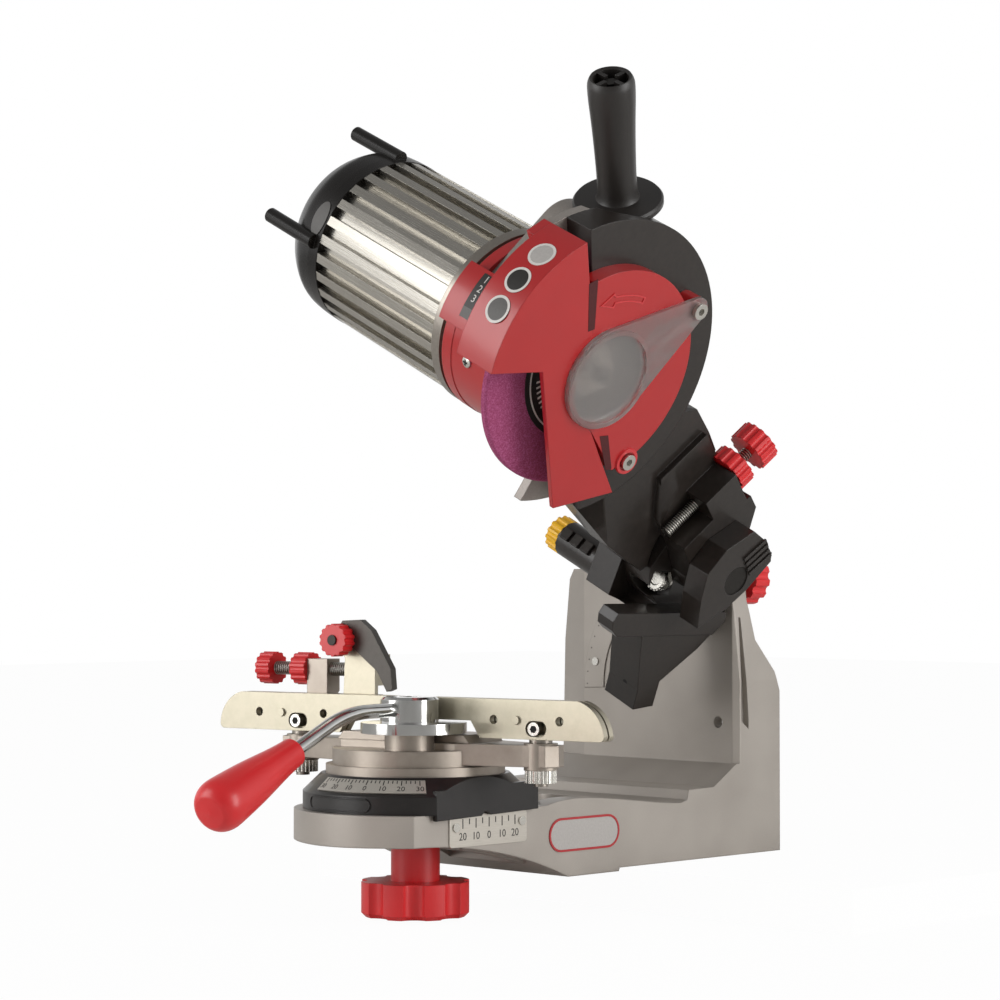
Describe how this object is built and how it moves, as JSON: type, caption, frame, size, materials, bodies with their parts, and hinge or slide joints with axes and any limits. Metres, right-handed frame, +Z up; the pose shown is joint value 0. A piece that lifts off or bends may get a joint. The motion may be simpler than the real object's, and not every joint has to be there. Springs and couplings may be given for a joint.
{
  "type": "electric chainsaw sharpener",
  "caption": "Bench-mounted electric grinder that sharpens saw chain: tilting motor head with a guarded wheel on a swinging arm, over a swivelling chain vise on a cast stand.",
  "frame": {"origin": "centre of the stand's flat foot, in the plane of the bench, on the line of the vise's swivel axis", "axes": "+Z up from the bench; +X towards the side the wheel cover faces; +Y away from the operator"},
  "size_m": [0.296, 0.4628, 0.4711],
  "materials": {
    "silver_paint": "semi-gloss silver-grey powder coat",
    "grey_paint": "semi-gloss grey casting",
    "black_paint": "gloss black painted casting",
    "black_plastic": "moulded black plastic",
    "red_plastic": "moulded red plastic",
    "yellow_plastic": "moulded yellow plastic",
    "raw_aluminium": "raw casting, machined on top",
    "extruded_aluminium": "bright extrusion",
    "zinc_steel": "bright zinc plate",
    "chrome_steel": "polished",
    "dark_steel": "hardened, oil blacked",
    "laminated_steel": "laminations and windings",
    "abrasive": "vitrified aluminium oxide, pink violet",
    "label_paper": "black blotter paper",
    "clear_window": "frosted clear plastic",
    "scale_plate": "printed scale plate"
  },
  "bodies": {
    "stand": {"base_casting": "silver_paint", "side_scale_plate": "scale_plate", "tilt_scale_plate": "scale_plate", "scale_rivets": "zinc_steel"},
    "tilt_head": {"tilt_bracket": "black_paint", "hinge_pin": "dark_steel", "tilt_clamp_bolt": "zinc_steel", "return_spring": "dark_steel"},
    "tilt_lock": {"tilt_lock_knob": "red_plastic"},
    "spring_adjuster": {"spring_adjuster_screw": "dark_steel", "spring_adjuster_knob": "yellow_plastic"},
    "arm": {"arm_casting": "black_paint", "wheel_housing": "grey_paint", "front_cover": "red_plastic", "side_cover": "red_plastic", "window_lens": "clear_window", "cover_screws": "zinc_steel", "motor_collar": "red_plastic", "motor_flange": "raw_aluminium", "motor_shell": "extruded_aluminium", "motor_end_cap": "black_plastic", "stator": "laminated_steel", "spindle_bearings": "dark_steel", "handle_grip": "black_plastic", "handle_stud": "dark_steel", "switch_box": "black_plastic", "cord_gland": "black_plastic"},
    "spindle": {"spindle_shaft": "dark_steel", "rotor_core": "laminated_steel", "cooling_fan": "black_plastic", "wheel_flange": "zinc_steel", "grinding_wheel": "abrasive", "wheel_label": "label_paper", "wheel_nut": "zinc_steel"},
    "switch": {"switch_rocker": "black_plastic"},
    "depth_stop": {"depth_stop_screw": "zinc_steel"},
    "depth_knob": {"depth_stop_knob": "red_plastic"},
    "depth_lock": {"depth_stop_lock_nut": "red_plastic"},
    "vise_carriage": {"vise_base_ring": "black_paint", "vise_clamp_bolt": "dark_steel", "angle_scale_plate": "scale_plate"},
    "vise_lock": {"vise_lock_knob": "red_plastic"},
    "vise": {"vise_body": "raw_aluminium", "rail_posts": "zinc_steel", "rear_rail": "zinc_steel", "rail_screws": "zinc_steel", "stop_block": "raw_aluminium"},
    "clamp_rail": {"front_rail": "zinc_steel"},
    "clamp_lever": {"clamp_lever_hub": "zinc_steel", "lever_rod": "chrome_steel", "lever_grip": "red_plastic"},
    "left_nut": {"post_nut_left": "zinc_steel"},
    "right_nut": {"post_nut_right": "zinc_steel"},
    "stop_slide": {"pawl_bracket": "zinc_steel", "pawl_pin": "dark_steel"},
    "stop_feed": {"stop_screw": "zinc_steel", "stop_knob": "red_plastic"},
    "stop_lock": {"stop_lock_nut": "red_plastic"},
    "pawl": {"chain_pawl": "dark_steel"},
    "pawl_clamp": {"pawl_knob": "red_plastic"}
  },
  "joints": [
    {"name": "head_tilt", "type": "hinge", "parent": "stand", "child": "tilt_head", "pos_m": [0, 0.0305, 0.1022], "axis": [0, 1, 0], "range_deg": [-26.3, 0]},
    {"name": "tilt_lock_turn", "type": "hinge", "parent": "tilt_head", "child": "tilt_lock", "pos_m": [0.03501, 0.053, 0.17079], "axis": [0, 1, 0], "range_deg": [-180, 180]},
    {"name": "spring_adjuster_turn", "type": "hinge", "parent": "tilt_head", "child": "spring_adjuster", "pos_m": [-0.04168, -0.0303, 0.19843], "axis": [0.8965, 0, -0.4431], "range_deg": [-360, 360]},
    {"name": "arm_swing", "type": "hinge", "parent": "tilt_head", "child": "arm", "pos_m": [0.04254, -0.008, 0.18826], "axis": [0.8965, 0, -0.4431], "range_deg": [0, 43], "stiffness_Nm_per_rad": 4, "springref_deg": -148.97},
    {"name": "spindle_spin", "type": "hinge", "parent": "arm", "child": "spindle", "pos_m": [0.09335, -0.1545, 0.29109], "axis": [0.8965, 0, -0.4431], "continuous": true},
    {"name": "switch_rock", "type": "hinge", "parent": "arm", "child": "switch", "pos_m": [-0.01514, -0.08281, 0.35595], "axis": [0.4388, -0.1392, 0.8878], "range_deg": [-14, 0]},
    {"name": "depth_stop_travel", "type": "slide", "parent": "arm", "child": "depth_stop", "axis": [0.3359, 0.6521, 0.6797], "range_m": [-0.006, 0.003]},
    {"name": "depth_stop_turn", "type": "hinge", "parent": "depth_stop", "child": "depth_knob", "pos_m": [0.06374, -0.051, 0.19731], "axis": [0.3359, 0.6521, 0.6797], "range_deg": [-1441, 721]},
    {"name": "depth_lock_turn", "type": "hinge", "parent": "arm", "child": "depth_lock", "pos_m": [0.06374, -0.051, 0.19731], "axis": [0.3359, 0.6521, 0.6797], "range_deg": [-180, 180]},
    {"name": "vise_slide", "type": "slide", "parent": "stand", "child": "vise_carriage", "axis": [0, 1, 0], "range_m": [-0.01, 0.01]},
    {"name": "vise_lock_turn", "type": "hinge", "parent": "vise_carriage", "child": "vise_lock", "pos_m": [0, -0.195, -0.01], "axis": [0, 0, 1], "range_deg": [-180, 180]},
    {"name": "vise_swivel", "type": "hinge", "parent": "vise_carriage", "child": "vise", "pos_m": [0, -0.195, 0.062], "axis": [0, 0, 1], "range_deg": [-45.5, 24.5]},
    {"name": "clamp_lever_turn", "type": "hinge", "parent": "vise", "child": "clamp_lever", "pos_m": [0.01832, -0.21703, 0.085], "axis": [0, 0, 1], "range_deg": [0, 55]},
    {"name": "clamp_rail_travel", "type": "slide", "parent": "vise", "child": "clamp_rail", "axis": [-0.1822, 0.9833, 0], "range_m": [0, 0.0009]},
    {"name": "left_nut_turn", "type": "hinge", "parent": "vise", "child": "left_nut", "pos_m": [-0.08063, -0.20994, 0.059], "axis": [0, 0, 1], "range_deg": [-180, 180]},
    {"name": "right_nut_turn", "type": "hinge", "parent": "vise", "child": "right_nut", "pos_m": [0.08456, -0.17933, 0.059], "axis": [0, 0, 1], "range_deg": [-180, 180]},
    {"name": "stop_travel", "type": "slide", "parent": "vise", "child": "stop_slide", "axis": [0.9833, 0.1822, 0], "range_m": [-0.003, 0.003]},
    {"name": "stop_turn", "type": "hinge", "parent": "stop_slide", "child": "stop_feed", "pos_m": [-0.11508, -0.20514, 0.117], "axis": [0.9833, 0.1822, 0], "range_deg": [-721, 721]},
    {"name": "stop_lock_turn", "type": "hinge", "parent": "vise", "child": "stop_lock", "pos_m": [-0.08853, -0.20022, 0.117], "axis": [0.9833, 0.1822, 0], "range_deg": [-180, 180]},
    {"name": "pawl_flip", "type": "hinge", "parent": "stop_slide", "child": "pawl", "pos_m": [-0.05315, -0.2018, 0.1345], "axis": [-0.1822, 0.9833, 0], "range_deg": [-70, 0]},
    {"name": "pawl_clamp_turn", "type": "hinge", "parent": "stop_slide", "child": "pawl_clamp", "pos_m": [-0.05206, -0.2077, 0.1345], "axis": [0.1822, -0.9833, 0], "range_deg": [-180, 180]}
  ],
  "couplings": [
    {"joint": "depth_stop_turn", "follows": "depth_stop_travel", "rad_per_m": 4188.8},
    {"joint": "stop_turn", "follows": "stop_travel", "rad_per_m": 4188.8},
    {"joint": "clamp_rail_travel", "follows": "clamp_lever_turn", "m_per_rad": 0.00083339}
  ]
}
